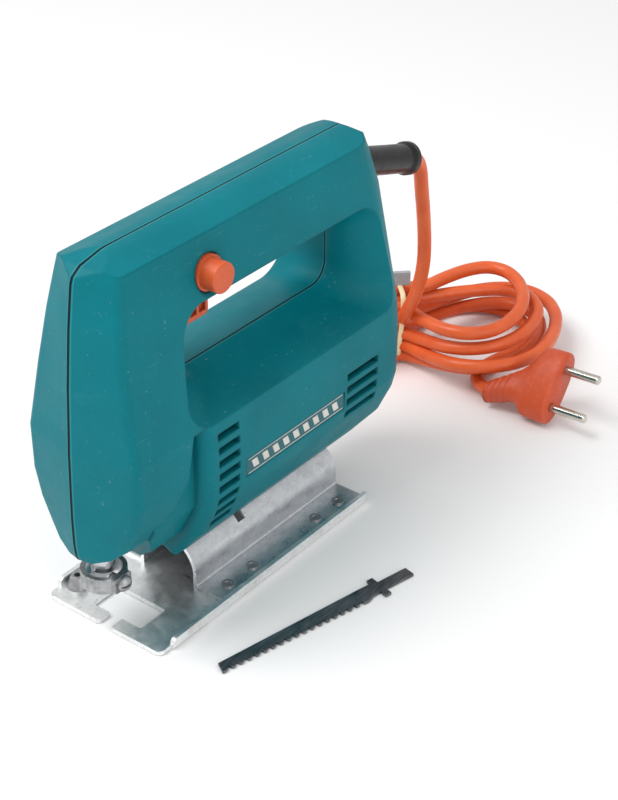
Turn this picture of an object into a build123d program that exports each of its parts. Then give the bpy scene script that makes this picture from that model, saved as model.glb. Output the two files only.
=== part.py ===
"""Corded jigsaw with a closed handle, a tilting pressed-steel shoe, a banded hank of cord and a loose
saw blade lying beside it. Millimetres. +X is the cutting direction, +Y the operator's left, +Z up, and
z = 0 is the underside of the shoe, which is also the floor the cord, the plug and the blade lie on."""
from build123d import *
import math
import os

os.makedirs("parts", exist_ok=True)

# ---------------------------------------------------------------- driving dimensions
SHOE_FRONT = 7.0          # front edge of the shoe plate
SHOE_REAR = -129.0
SHOE_HALF = 32.4          # half width over the side lips
PLATE_T = 2.0
LIP_H = 5.0
SADDLE_R = 15.5           # outside radius of the arch the body rides on
SADDLE_Z = 8.7            # height of the tilt axis
SADDLE_T = 1.6
SADDLE_X0 = -128.0
SADDLE_X1 = -33.0
CHANNEL_R = SADDLE_R + 0.3
WALL = 3.0                # moulding wall
SPLIT = 0.06              # each half stops this far from the parting plane
ROOF_MID = 168.0          # top of the handle on the parting plane
ROOF_EDGE = 162.4         # where the roof facets meet the side faces
MOTOR_Z = 60.0            # armature axis
GEAR_Z = 87.0             # drive gear axis
GEAR_R = 22.5
PINION_R = 4.2
CRANK_R = 9.0             # crank throw, half the stroke
PLUNGER_X = 4.0
MOTOR_X1 = -26.0         # front end of the motor housing
PLUNGER_R = 5.0
CLAMP_Z = 25.8            # mid height of the blade clamp
BUTTON_X = -44.0
BUTTON_Z = 147.0
BUTTON_R = 6.3
CORD_D = 6.6
BOOT_DIR = Vector(-0.9543, 0, -0.2988)
BOOT_IN = Vector(-157.0, 0, 145.8)
SCREWS = [(-14, 148), (-108, 152), (-62, 85.8), (-128, 85), (-51, 31.6), (-118, 31.8)]


def plan_section(z, front, crease_x, crease_y, rear, rear_r, crease_r=4.0):
    """Horizontal slice of the upper body: blunt V nose, straight sides, rounded tail."""
    with BuildSketch(Plane.XY.offset(z)) as sk:
        with BuildLine():
            Polyline(
                (front, 0), (crease_x, crease_y), (rear, crease_y),
                (rear, -crease_y), (crease_x, -crease_y), close=True,
            )
        make_face()
        fillet(sk.vertices().group_by(Axis.X)[0], rear_r)
        fillet(sk.vertices().sort_by(Axis.X)[-3:-1], crease_r)
    return sk.sketch.face()


def nose_section(z, front, crease_x, half, back, crease_r):
    """Horizontal slice of the lower nose."""
    with BuildSketch(Plane.XY.offset(z)) as sk:
        with BuildLine():
            Polyline(
                (front, 0), (crease_x, half), (back, half),
                (back, -half), (crease_x, -half), close=True,
            )
        make_face()
        fillet(sk.vertices().sort_by(Axis.X)[-3:-1], crease_r)
        fillet(sk.vertices().group_by(Axis.X)[0], crease_r)
    return sk.sketch.face()


def motor_section(z, half, rear, rear_r, front_r, front=MOTOR_X1):
    """Horizontal slice of the motor housing."""
    with BuildSketch(Plane.XY.offset(z)) as sk:
        with BuildLine():
            Polyline((front, half), (rear, half), (rear, -half), (front, -half), close=True)
        make_face()
        fillet(sk.vertices().group_by(Axis.X)[0], rear_r)
        fillet(sk.vertices().group_by(Axis.X)[-1], front_r)
    return sk.sketch.face()


def opening_section(y, x0, x1, z0, z1, r):
    """Slice of the hand opening at a given distance from the parting plane."""
    with BuildSketch(Plane.XZ.offset(-y)) as sk:
        with Locations(((x0 + x1) / 2, (z0 + z1) / 2)):
            RectangleRounded(abs(x1 - x0), z1 - z0, r)
    return sk.sketch.face()


def rod_x(x0, x1, r, y=0.0, z=0.0, mode=Mode.ADD):
    with Locations(Location(((x0 + x1) / 2, y, z), (0, 90, 0))):
        Cylinder(r, abs(x1 - x0), mode=mode)


def rod_y(y0, y1, r, x=0.0, z=0.0, mode=Mode.ADD):
    with Locations(Location((x, (y0 + y1) / 2, z), (90, 0, 0))):
        Cylinder(r, abs(y1 - y0), mode=mode)


def rod_z(z0, z1, r, x=0.0, y=0.0, mode=Mode.ADD):
    with Locations((x, y, (z0 + z1) / 2)):
        Cylinder(r, abs(z1 - z0), mode=mode)


def block(x0, x1, y0, y1, z0, z1, mode=Mode.ADD):
    with Locations(((x0 + x1) / 2, (y0 + y1) / 2, (z0 + z1) / 2)):
        Box(abs(x1 - x0), abs(y1 - y0), abs(z1 - z0), mode=mode)


# ---------------------------------------------------------------- housing, outer form
with BuildPart() as upper_form:
    loft(
        sections=[
            plan_section(89.4, 17.6, 11.1, 28.6, -165.5, 18),
            plan_section(118, 15.4, 9.0, 23.2, -164.5, 18),
            plan_section(142, 12.7, 5.6, 19.3, -162.0, 16.5),
            plan_section(158, 10.2, 2.2, 16.7, -157.5, 15.5),
            plan_section(171, 7.6, -0.6, 14.4, -152.0, 13.5),
        ],
        ruled=True,
    )

with BuildPart() as roof_form:
    with BuildSketch(Plane.YZ.offset(-175)) as roof_sk:
        with BuildLine():
            Polyline(
                (0, ROOF_MID), (16.4, ROOF_EDGE), (40, ROOF_EDGE - 8), (40, 80), (-40, 80),
                (-40, ROOF_EDGE - 8), (-16.4, ROOF_EDGE), close=True,
            )
        make_face()
        fillet(roof_sk.vertices().group_by(Axis.Y)[-1], 24)
    extrude(amount=210)

with BuildPart() as side_form:
    with BuildSketch(Plane.XZ):
        with BuildLine():
            Polyline(
                (30, 80), (30, 157), (10.6, 157), (8.6, 161.4), (4.5, 164.2), (-6, 166.4),
                (-40, 170), (-142, 170), (-149, 166.4), (-154.5, 162), (-158.5, 155),
                (-180, 142), (-180, 80), close=True,
            )
        make_face()
    extrude(amount=40, both=True)

with BuildPart() as motor_form:
    loft(
        sections=[
            motor_section(20.8, 10.6, -155.0, 9.5, 3.0),
            motor_section(34, 21.6, -162.0, 14.0, 5.0),
            motor_section(46, 27.0, -164.8, 16.0, 6.0),
            motor_section(53, 28.9, -165.4, 17.0, 6.0),
            motor_section(66, 29.6, -165.5, 18.0, 6.0),
            motor_section(78, 29.6, -165.5, 18.0, 6.0),
            motor_section(89.4, 28.6, -165.5, 18.0, 6.0),
        ],
        ruled=True,
    )

with BuildPart() as nose_form:
    loft(
        sections=[
            nose_section(40.4, 17.4, 15.9, 7.0, -6.0, 1.5),
            nose_section(43.4, 18.4, 14.0, 14.0, -7.0, 3.0),
            nose_section(48.7, 18.9, 11.8, 20.2, -9.0, 4.0),
            nose_section(58, 18.9, 11.3, 25.2, -14.0, 4.0),
            nose_section(70, 18.5, 11.3, 28.2, -20.0, 4.0),
            nose_section(89.4, 17.6, 11.1, 28.6, -23.5, 4.0),
        ],
        ruled=True,
    )

with BuildPart() as neck_form:
    with BuildSketch(Plane.YZ.offset(-44)):
        with BuildLine():
            Polyline(
                (23, 88), (23, 52), (15, 36), (4, 26.2), (-4, 26.2), (-15, 36), (-23, 52),
                (-23, 88), close=True,
            )
        make_face()
    extrude(amount=42)
    with BuildSketch(Plane.XZ):
        with BuildLine():
            Polyline((-45, 24), (-14, 24), (-7, 38), (-2, 47), (-2, 95), (-45, 95), close=True)
        make_face()
    extrude(amount=40, both=True, mode=Mode.INTERSECT)

with BuildPart() as hand_hole:
    loft(
        sections=[
            opening_section(0.0, -38.0, -139.3, 98.4, 134.0, 9.0),
            opening_section(9.0, -36.4, -140.6, 95.6, 134.6, 10.0),
            opening_section(20.0, -26.5, -148.5, 91.8, 137.4, 12.0),
            opening_section(34.0, -18.5, -159.0, 86.6, 143.0, 14.0),
        ],
    )
    loft(
        sections=[
            opening_section(0.0, -38.0, -139.3, 98.4, 134.0, 9.0),
            opening_section(-9.0, -36.8, -139.6, 97.2, 134.6, 10.0),
            opening_section(-20.0, -29.5, -140.4, 95.0, 136.6, 12.0),
            opening_section(-34.0, -22.0, -146.0, 90.0, 141.0, 14.0),
        ],
    )

with BuildPart() as body_form:
    add(upper_form.part)
    add(roof_form.part, mode=Mode.INTERSECT)
    add(side_form.part, mode=Mode.INTERSECT)
    add(motor_form.part)
    add(nose_form.part)
    add(neck_form.part)
    add(hand_hole.part, mode=Mode.SUBTRACT)

# ---------------------------------------------------------------- housing, hollow inside
with BuildPart() as cavity:
    loft(
        sections=[
            motor_section(27.8, 11.6, -153.0, 8.0, 2.0, -29.0),
            motor_section(36, 19.8, -158.6, 10.0, 3.0, -29.0),
            motor_section(46, 23.8, -161.5, 12.0, 3.0, -29.0),
            motor_section(53, 25.8, -162.3, 14.0, 3.0, -29.0),
            motor_section(66, 26.6, -162.5, 15.0, 3.0, -29.0),
            motor_section(86, 25.8, -162.5, 15.0, 3.0, -29.0),
        ],
        ruled=True,
    )
    with BuildSketch(Plane.YZ.offset(-139)):
        with BuildLine():
            Polyline((0, 95), (12, 91.8), (24, 86.5), (24, 80), (-24, 80), (-24, 86.5), (-12, 91.8), close=True)
        make_face()
    extrude(amount=108)
    loft(
        sections=[
            motor_section(84, 16.0, -161.6, 10.0, 6.0, -144.0),
            motor_section(118, 15.0, -160.8, 9.5, 6.0, -144.0),
            motor_section(142, 12.0, -158.0, 8.0, 5.0, -143.0),
            motor_section(150, 10.5, -155.5, 7.0, 4.0, -143.0),
        ],
        ruled=True,
    )
    block(-152, -140, -9.5, 9.5, 139, 157)
    with BuildSketch(Plane.YZ.offset(-148)):
        with BuildLine():
            Polyline(
                (0, 164.2), (12.6, 160), (14.2, 150), (16, 142), (11, 138.2), (-11, 138.2), (-16, 142),
                (-14.2, 150), (-12.6, 160), close=True,
            )
        make_face()
    extrude(amount=135)
    loft(
        sections=[
            nose_section(59, 15.6, 8.6, 22.2, -16, 3.0),
            nose_section(70, 15.4, 8.6, 25.0, -20, 3.0),
            nose_section(89.4, 14.4, 8.2, 25.4, -22, 3.0),
            nose_section(112, 12.7, 6.6, 21.0, -19, 3.0),
            nose_section(135, 10.4, 3.6, 17.2, -19, 3.0),
            nose_section(154, 7.4, 0.0, 14.0, -19, 2.0),
            nose_section(160.5, 2.6, -3.0, 12.6, -19, 2.0),
        ],
        ruled=True,
    )
    block(-33, -16, -8.5, 8.5, 80, 141)
    rod_x(-24.8, -15.5, GEAR_R + 0.7, 0, GEAR_Z)
    with BuildSketch(Plane.YZ.offset(-46)):
        with BuildLine():
            Polyline(
                (20, 86), (20, 53), (12.5, 38.5), (3, 30), (-3, 30), (-12.5, 38.5), (-20, 53), (-20, 86),
                close=True,
            )
        make_face()
    extrude(amount=30)

with BuildPart() as screw_bosses:
    for sx, sz in SCREWS:
        rod_y(-30, 30, 3.3, sx, sz)

with BuildPart() as inner_ribs:
    block(-147, -140, -30, 30, 20, 84)
    block(-101, -98, -30, 30, 20, 88)
    block(-74, -71, -30, 30, 20, 88)
    block(-12, 20, -30, 30, 117, 128)
    block(-165, -151.5, -30, 30, 96, 100)
    block(-149, -143, 4.6, 12, 130, 148.4)
    block(-149, -143, -12, -4.6, 130, 148.4)
    block(-56, -48.6, -5, 5, 152, 170)
    rod_y(13.3, 20, 11.0, BUTTON_X, BUTTON_Z)
    rod_y(-20, -7.7, 5.0, BUTTON_X, BUTTON_Z)
    add(screw_bosses.part)
    add(cavity.part, mode=Mode.INTERSECT)

with BuildPart() as shell:
    add(body_form.part)
    add(cavity.part, mode=Mode.SUBTRACT)
    add(inner_ribs.part)
    # saddle channel, clamp chamber, bearing and bush seats
    rod_x(-131.5, -20, CHANNEL_R, 0, SADDLE_Z, mode=Mode.SUBTRACT)
    rod_z(36, 48, 8.6, PLUNGER_X, 0, mode=Mode.SUBTRACT)
    rod_z(47, 60, 7.0, PLUNGER_X, 0, mode=Mode.SUBTRACT)
    rod_z(116, 129, 7.0, PLUNGER_X, 0, mode=Mode.SUBTRACT)
    rod_x(-150, -135, 9.5, 0, MOTOR_Z, mode=Mode.SUBTRACT)
    rod_x(-105, -67, 25.4, 0, MOTOR_Z, mode=Mode.SUBTRACT)
    # trigger slot in the underside of the handle
    block(-56.4, -38.6, -7.1, 7.1, 118, 141, mode=Mode.SUBTRACT)
    # lock button hole and the dish round it, on the left
    rod_y(8, 30, 7.8, BUTTON_X, BUTTON_Z, mode=Mode.SUBTRACT)
    rod_y(7.2, 13.3, 8.9, BUTTON_X, BUTTON_Z, mode=Mode.SUBTRACT)
    with Locations((BUTTON_X, 34.0, BUTTON_Z)):
        Sphere(16.9, mode=Mode.SUBTRACT)
    # strain-relief hole
    with BuildSketch(Plane(origin=BOOT_IN, z_dir=BOOT_DIR)):
        Circle(6.5)
    extrude(amount=30, mode=Mode.SUBTRACT)
    with BuildSketch(Plane(origin=BOOT_IN, z_dir=-BOOT_DIR)):
        Circle(CORD_D / 2 + 0.1)
    extrude(amount=24, mode=Mode.SUBTRACT)
    # wire channels past the rear bearing
    for side in (-1, 1):
        rod_x(-151, -136, 1.6, side * 8, 84, mode=Mode.SUBTRACT)
    # shoe clamp screw
    rod_z(20, 30, 2.05, -66, 0, mode=Mode.SUBTRACT)
    for lug_y in (-7, 7):
        rod_z(142, 149, 1.4, -146, lug_y, mode=Mode.SUBTRACT)
    # cooling slots, both sides
    for side in (-1, 1):
        for k in range(8):
            with Locations((-40.2, side * 26, 82 - 6.2 * k)):
                Box(12.6, 18, 3.2, mode=Mode.SUBTRACT)
        for k in range(4):
            with Locations((-128, side * 30, 69.3 - 6.3 * k)):
                Box(21.6, 12, 3.4, mode=Mode.SUBTRACT)
    # recess for the badge
    block(-115.6, -50.8, 28.1, 34, 54.7, 63.3, mode=Mode.SUBTRACT)
    # housing screws
    for sx, sz in SCREWS:
        rod_y(-30, 12, 1.5, sx, sz, mode=Mode.SUBTRACT)
        rod_y(-32, -10, 3.1, sx, sz, mode=Mode.SUBTRACT)

with BuildPart() as left_housing:
    add(shell.part)
    block(-200, 50, SPLIT, 60, -10, 200, mode=Mode.INTERSECT)
left_housing.part.label = "left_housing"
export_step(left_housing.part, "parts/left_housing.step")

with BuildPart() as right_housing:
    add(shell.part)
    block(-200, 50, -60, -SPLIT, -10, 200, mode=Mode.INTERSECT)
right_housing.part.label = "right_housing"
export_step(right_housing.part, "parts/right_housing.step")

with BuildPart() as housing_screws:
    for sx, sz in SCREWS:
        rod_y(-10, 11.5, 1.5, sx, sz)
        rod_y(-12.4, -10, 3.0, sx, sz)
        rod_y(-12.6, -11.4, 1.2, sx, sz, mode=Mode.SUBTRACT)
housing_screws.part.label = "housing_screws"
export_step(housing_screws.part, "parts/housing_screws.step")

# ---------------------------------------------------------------- gear case
with BuildPart() as bearing_plate:
    add(cavity.part)
    block(-38, -31, -30, 30, 20, 100, mode=Mode.INTERSECT)
    rod_x(-45, -25, 11.0, 0, MOTOR_Z, mode=Mode.SUBTRACT)
    rod_x(-45, -25, 4.0, 0, GEAR_Z, mode=Mode.SUBTRACT)
    for side in (-1, 1):
        rod_x(-45, -25, 4.0, side * 17.5, 70, mode=Mode.SUBTRACT)
        rod_x(-45, -25, 4.0, side * 15, 48, mode=Mode.SUBTRACT)
bearing_plate.part.label = "bearing_plate"
export_step(bearing_plate.part, "parts/bearing_plate.step")

with BuildPart() as front_bearing:
    with BuildSketch(Plane.YZ.offset(-38)):
        with Locations((0, MOTOR_Z)):
            Circle(11.0)
            Circle(4.06, mode=Mode.SUBTRACT)
    extrude(amount=7)
    for x in (-38, -31):
        with BuildSketch(Plane.YZ.offset(x)):
            with Locations((0, MOTOR_Z)):
                Circle(9.2)
                Circle(5.8, mode=Mode.SUBTRACT)
        extrude(amount=0.4, both=True, mode=Mode.SUBTRACT)
front_bearing.part.label = "front_bearing"
export_step(front_bearing.part, "parts/front_bearing.step")

with BuildPart() as rear_bearing:
    with BuildSketch(Plane.YZ.offset(-147)):
        with Locations((0, MOTOR_Z)):
            Circle(9.5)
            Circle(4.06, mode=Mode.SUBTRACT)
    extrude(amount=7)
    for x in (-147, -140):
        with BuildSketch(Plane.YZ.offset(x)):
            with Locations((0, MOTOR_Z)):
                Circle(8.2)
                Circle(5.4, mode=Mode.SUBTRACT)
        extrude(amount=0.4, both=True, mode=Mode.SUBTRACT)
rear_bearing.part.label = "rear_bearing"
export_step(rear_bearing.part, "parts/rear_bearing.step")

with BuildPart() as gear_spindle:
    rod_x(-38, -17.4, 4.0, 0, GEAR_Z)
    rod_x(-31, -27.4, 5.6, 0, GEAR_Z)
    chamfer(gear_spindle.edges().filter_by(GeomType.CIRCLE).sort_by(Axis.X)[-1], 0.5)
gear_spindle.part.label = "gear_spindle"
export_step(gear_spindle.part, "parts/gear_spindle.step")

with BuildPart() as drive_gear:
    rod_x(-24, -18, GEAR_R, 0, GEAR_Z)
    rod_x(-27, -18, 7.5, 0, GEAR_Z)
    rod_x(-30, -10, 4.06, 0, GEAR_Z, mode=Mode.SUBTRACT)
    with BuildSketch(Plane.YZ.offset(-25)):
        with Locations((0, GEAR_Z)):
            with PolarLocations(GEAR_R, 43):
                Rectangle(2.6, 1.5)
    extrude(amount=8, mode=Mode.SUBTRACT)
    with BuildSketch(Plane.YZ.offset(-25)):
        with Locations((0, GEAR_Z)):
            with PolarLocations(14.2, 5, start_angle=36):
                Circle(3.0)
    extrude(amount=8, mode=Mode.SUBTRACT)
drive_gear.part.label = "drive_gear"
export_step(drive_gear.part, "parts/drive_gear.step")

with BuildPart() as crank_pin:
    rod_x(-18, -13.4, 2.8, CRANK_R, GEAR_Z)
    chamfer(crank_pin.edges().sort_by(Axis.X)[-1], 0.4)
crank_pin.part.label = "crank_pin"
export_step(crank_pin.part, "parts/crank_pin.step")

# ---------------------------------------------------------------- reciprocating parts
with BuildPart() as plunger:
    rod_z(29.2, 131, PLUNGER_R, PLUNGER_X, 0)
    with BuildSketch(Plane.XY.offset(22.6)):
        with Locations((PLUNGER_X, 0)):
            Circle(7.5)
            with Locations((0, 4.5)):
                Rectangle(16, 10.2, mode=Mode.SUBTRACT)
    extrude(amount=6.6)
    with Locations((PLUNGER_X, 0, 131)):
        Hole(1.6, 12)
    chamfer(plunger.faces().sort_by(Axis.Z)[-1].edges().sort_by(SortBy.RADIUS)[-1], 0.6)
plunger.part.label = "plunger"
export_step(plunger.part, "parts/plunger.step")

with BuildPart() as yoke:
    block(-13, 2, -17, 17, 78, 96)
    rod_z(79, 95, 8.2, PLUNGER_X, 0)
    block(-14, -6.6, -14.2, 14.2, 82.6, 91.4, mode=Mode.SUBTRACT)
    rod_z(70, 100, PLUNGER_R, PLUNGER_X, 0, mode=Mode.SUBTRACT)
yoke.part.label = "yoke"
export_step(yoke.part, "parts/yoke.step")

with BuildPart() as slider_block:
    block(-13, -7, CRANK_R - 4.6, CRANK_R + 4.6, GEAR_Z - 4, GEAR_Z + 4)
    rod_x(-14, -9.5, 2.9, CRANK_R, GEAR_Z, mode=Mode.SUBTRACT)
slider_block.part.label = "slider_block"
export_step(slider_block.part, "parts/slider_block.step")

with BuildPart() as upper_bush:
    rod_z(117, 128, 7.0, PLUNGER_X, 0)
    rod_z(110, 130, PLUNGER_R + 0.06, PLUNGER_X, 0, mode=Mode.SUBTRACT)
upper_bush.part.label = "upper_bush"
export_step(upper_bush.part, "parts/upper_bush.step")

with BuildPart() as lower_bush:
    rod_z(48, 59, 7.0, PLUNGER_X, 0)
    rod_z(45, 62, PLUNGER_R + 0.06, PLUNGER_X, 0, mode=Mode.SUBTRACT)
lower_bush.part.label = "lower_bush"
export_step(lower_bush.part, "parts/lower_bush.step")

with BuildPart() as blade_clamp:
    rod_z(CLAMP_Z - 3.5, CLAMP_Z + 3.5, 9.5, PLUNGER_X, 0)
    rod_z(0, 60, 7.5, PLUNGER_X, 0, mode=Mode.SUBTRACT)
    with BuildSketch(Plane.XZ.offset(-8.0)) as pad_sk:
        with Locations((PLUNGER_X, CLAMP_Z)):
            RectangleRounded(9.4, 7.0, 1.2)
    extrude(amount=-2.4)
    rod_y(0, 15, 2.05, PLUNGER_X, CLAMP_Z, mode=Mode.SUBTRACT)
blade_clamp.part.label = "blade_clamp"
export_step(blade_clamp.part, "parts/blade_clamp.step")

with BuildPart() as clamp_screw:
    rod_y(4.0, 10.45, 2.0, PLUNGER_X, CLAMP_Z)
    with BuildSketch(Plane.XY.offset(CLAMP_Z)):
        with BuildLine():
            Polyline((PLUNGER_X, 10.45), (PLUNGER_X + 3.5, 10.45), (PLUNGER_X + 3.5, 11.4))
            ThreePointArc((PLUNGER_X + 3.5, 11.4), (PLUNGER_X + 2.2, 12.9), (PLUNGER_X, 13.5))
            Line((PLUNGER_X, 13.5), (PLUNGER_X, 10.45))
        make_face()
    revolve(axis=Axis((PLUNGER_X, 0, CLAMP_Z), (0, 1, 0)))
    block(PLUNGER_X - 4, PLUNGER_X + 4, 12.2, 14, CLAMP_Z - 0.5, CLAMP_Z + 0.5, mode=Mode.SUBTRACT)
clamp_screw.part.label = "clamp_screw"
export_step(clamp_screw.part, "parts/clamp_screw.step")

# ---------------------------------------------------------------- shoe
with BuildPart() as shoe_plate:
    with BuildSketch(Plane.YZ.offset(SHOE_REAR)) as shoe_sk:
        with BuildLine():
            Polyline(
                (-SHOE_HALF, LIP_H), (-SHOE_HALF, 0), (SHOE_HALF, 0), (SHOE_HALF, LIP_H),
                (SHOE_HALF - PLATE_T, LIP_H), (SHOE_HALF - PLATE_T, PLATE_T),
                (-SHOE_HALF + PLATE_T, PLATE_T), (-SHOE_HALF + PLATE_T, LIP_H), close=True,
            )
        make_face()
        fillet(shoe_sk.vertices().group_by(Axis.Y)[0], 1.4)
    extrude(amount=-SHOE_REAR)
    with BuildSketch() as toe_sk:
        with BuildLine():
            Polyline((-1, -SHOE_HALF + 1.4), (SHOE_FRONT, -SHOE_HALF + 1.4), (SHOE_FRONT, SHOE_HALF - 1.4),
                     (-1, SHOE_HALF - 1.4), close=True)
        make_face()
        fillet(toe_sk.vertices().group_by(Axis.X)[-1], 3.0)
    extrude(amount=PLATE_T)
    with BuildSketch() as window_sk:
        with Locations((-7.3, 1.25)):
            RectangleRounded(15.0, 26.5, 1.2)
        with Locations((4, 0.8)):
            Rectangle(10, 6.8)
        with Locations((-66, 0)):
            RectangleRounded(24, 17, 4)
    extrude(amount=PLATE_T + 1, both=True, mode=Mode.SUBTRACT)
    # prong tips and the rounded front ends of the lips
    chamfer(
        shoe_plate.edges().filter_by(Axis.Z).filter_by_position(Axis.X, 6.5, 7.5).filter_by_position(Axis.Y, -4, 6),
        1.2,
    )
    fillet(
        shoe_plate.edges().filter_by(Axis.Y).filter_by_position(Axis.X, -0.5, 0.5).group_by(Axis.Z)[-1],
        2.4,
    )
    for side in (-1, 1):
        for rx in (-42, -58, -101, -117):
            rod_z(-1, 5, 1.6, rx, side * 24.8, mode=Mode.SUBTRACT)
shoe_plate.part.label = "shoe_plate"
export_step(shoe_plate.part, "parts/shoe_plate.step")

with BuildPart() as saddle:
    with BuildSketch(Plane.YZ.offset(SADDLE_X0)) as saddle_sk:
        with Locations((0, SADDLE_Z)):
            Circle(SADDLE_R)
        with Locations((0, PLATE_T + (SADDLE_Z - PLATE_T) / 2)):
            Rectangle(2 * SADDLE_R, SADDLE_Z - PLATE_T)
        with Locations((0, SADDLE_Z)):
            Circle(SADDLE_R - SADDLE_T, mode=Mode.SUBTRACT)
        with Locations((0, SADDLE_Z / 2)):
            Rectangle(2 * (SADDLE_R - SADDLE_T), SADDLE_Z, mode=Mode.SUBTRACT)
        with Locations((0, PLATE_T - 8)):
            Rectangle(60, 16, mode=Mode.SUBTRACT)
        for side in (-1, 1):
            with Locations((side * (SADDLE_R + 14) / 2 + side * 7.2, PLATE_T + SADDLE_T / 2)):
                Rectangle(15.0, SADDLE_T)
        fillet(saddle_sk.vertices().group_by(Axis.Y)[1].sort_by(Axis.X)[1:-1], 1.2)
    extrude(amount=SADDLE_X1 - SADDLE_X0)
    # bevel slot across the crown, long enough for the clamp screw at 45 degrees each way
    with BuildSketch(Plane.YZ.offset(-66 - 2.4)):
        with BuildLine():
            Polyline((0, SADDLE_Z), (-30, 29.3), (-30, 40), (30, 40), (30, 29.3), close=True)
        make_face()
    extrude(amount=4.8, mode=Mode.SUBTRACT)
    for side in (-1, 1):
        for rx in (-42, -58, -101, -117):
            rod_z(0, 6, 1.6, rx, side * 24.8, mode=Mode.SUBTRACT)
saddle.part.label = "saddle"
export_step(saddle.part, "parts/saddle.step")

with BuildPart() as clinch_rivets:
    for side in (-1, 1):
        for rx in (-42, -58, -101, -117):
            rod_z(0.3, 3.6, 1.6, rx, side * 24.8)
            rod_z(3.6, 4.3, 2.7, rx, side * 24.8)
            rod_z(3.9, 4.6, 1.3, rx, side * 24.8, mode=Mode.SUBTRACT)
clinch_rivets.part.label = "clinch_rivets"
export_step(clinch_rivets.part, "parts/clinch_rivets.step")

with BuildPart() as guide_boss:
    with Locations((-5, -25.2, PLATE_T + 2.7)):
        Cone(5.1, 2.7, 5.4)
    with Locations((-5, -25.2, PLATE_T + 5.4)):
        Hole(1.5, 4)
guide_boss.part.label = "guide_boss"
export_step(guide_boss.part, "parts/guide_boss.step")

with BuildPart() as clamp_washer:
    with BuildSketch(Plane.YZ.offset(-74)):
        with Locations((0, SADDLE_Z)):
            Circle(SADDLE_R - SADDLE_T - 0.3)
        with Locations((0, 24.9)):
            Rectangle(17, 10, mode=Mode.INTERSECT)
    extrude(amount=16)
    with Locations((-66, 0, 21)):
        Cylinder(2.05, 10, mode=Mode.SUBTRACT)
clamp_washer.part.label = "clamp_washer"
export_step(clamp_washer.part, "parts/clamp_washer.step")

with BuildPart() as shoe_clamp_screw:
    rod_z(19.6, 33.4, 2.0, -66, 0)
    rod_z(16.4, 19.6, 4.3, -66, 0)
    with BuildSketch(Plane.XY.offset(16.4)):
        with Locations((-66, 0)):
            RegularPolygon(2.3, 6)
    extrude(amount=2.0, mode=Mode.SUBTRACT)
shoe_clamp_screw.part.label = "shoe_clamp_screw"
export_step(shoe_clamp_screw.part, "parts/shoe_clamp_screw.step")

with BuildPart() as clamp_nut:
    with BuildSketch(Plane.XY.offset(27.8)):
        with Locations((-66, 0)):
            RegularPolygon(4.6, 6)
            Circle(2.05, mode=Mode.SUBTRACT)
    extrude(amount=4.0)
clamp_nut.part.label = "clamp_nut"
export_step(clamp_nut.part, "parts/clamp_nut.step")

# ---------------------------------------------------------------- motor
with BuildPart() as stator_core:
    with BuildSketch(Plane.YZ.offset(-105)):
        with Locations((0, MOTOR_Z)):
            Circle(25.4)
            Circle(14.9, mode=Mode.SUBTRACT)
            with PolarLocations(18.6, 4, start_angle=45):
                RectangleRounded(7.6, 9.0, 1.0, mode=Mode.SUBTRACT)
    extrude(amount=38)
stator_core.part.label = "stator_core"
export_step(stator_core.part, "parts/stator_core.step")

with BuildPart() as field_windings:
    for x0 in (-112, -67):
        with BuildSketch(Plane.YZ.offset(x0)):
            with Locations((0, MOTOR_Z)):
                Circle(22.0)
                Circle(16.0, mode=Mode.SUBTRACT)
                for side in (-1, 1):
                    with Locations((side * 17, 0)):
                        Rectangle(16, 15, mode=Mode.SUBTRACT)
        extrude(amount=7)
    with BuildSketch(Plane.YZ.offset(-105)):
        with Locations((0, MOTOR_Z)):
            with PolarLocations(18.6, 4, start_angle=45):
                RectangleRounded(7.0, 8.4, 0.8)
    extrude(amount=38)
field_windings.part.label = "field_windings"
export_step(field_windings.part, "parts/field_windings.step")

with BuildPart() as armature_shaft:
    rod_x(-150, -31, 4.0, 0, MOTOR_Z)
    rod_x(-31, -19.4, 2.5, 0, MOTOR_Z)
    chamfer(armature_shaft.edges().filter_by(GeomType.CIRCLE).sort_by(Axis.X)[0], 0.5)
armature_shaft.part.label = "armature_shaft"
export_step(armature_shaft.part, "parts/armature_shaft.step")

with BuildPart() as armature_core:
    with BuildSketch(Plane.YZ.offset(-105)):
        with Locations((0, MOTOR_Z)):
            Circle(14.4)
            Circle(4.0, mode=Mode.SUBTRACT)
            with PolarLocations(13.6, 12):
                Rectangle(3.0, 1.4, mode=Mode.SUBTRACT)
    extrude(amount=38)
armature_core.part.label = "armature_core"
export_step(armature_core.part, "parts/armature_core.step")

with BuildPart() as armature_winding:
    with BuildSketch(Plane.XZ) as wind_sk:
        with BuildLine():
            Polyline((-105, 64), (-105, 72.6), (-110, 72.0), (-113, 67), (-113, 64), close=True)
        make_face()
        with BuildLine():
            Polyline((-67, 64), (-67, 72.6), (-62.5, 72.0), (-60, 67), (-60, 64), close=True)
        make_face()
    revolve(axis=Axis((0, 0, MOTOR_Z), (1, 0, 0)))
armature_winding.part.label = "armature_winding"
export_step(armature_winding.part, "parts/armature_winding.step")

with BuildPart() as commutator:
    with BuildSketch(Plane.YZ.offset(-128)):
        with Locations((0, MOTOR_Z)):
            Circle(10.5)
            Circle(4.0, mode=Mode.SUBTRACT)
            with PolarLocations(10.2, 24):
                Rectangle(1.4, 0.5, mode=Mode.SUBTRACT)
    extrude(amount=15)
commutator.part.label = "commutator"
export_step(commutator.part, "parts/commutator.step")

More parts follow.
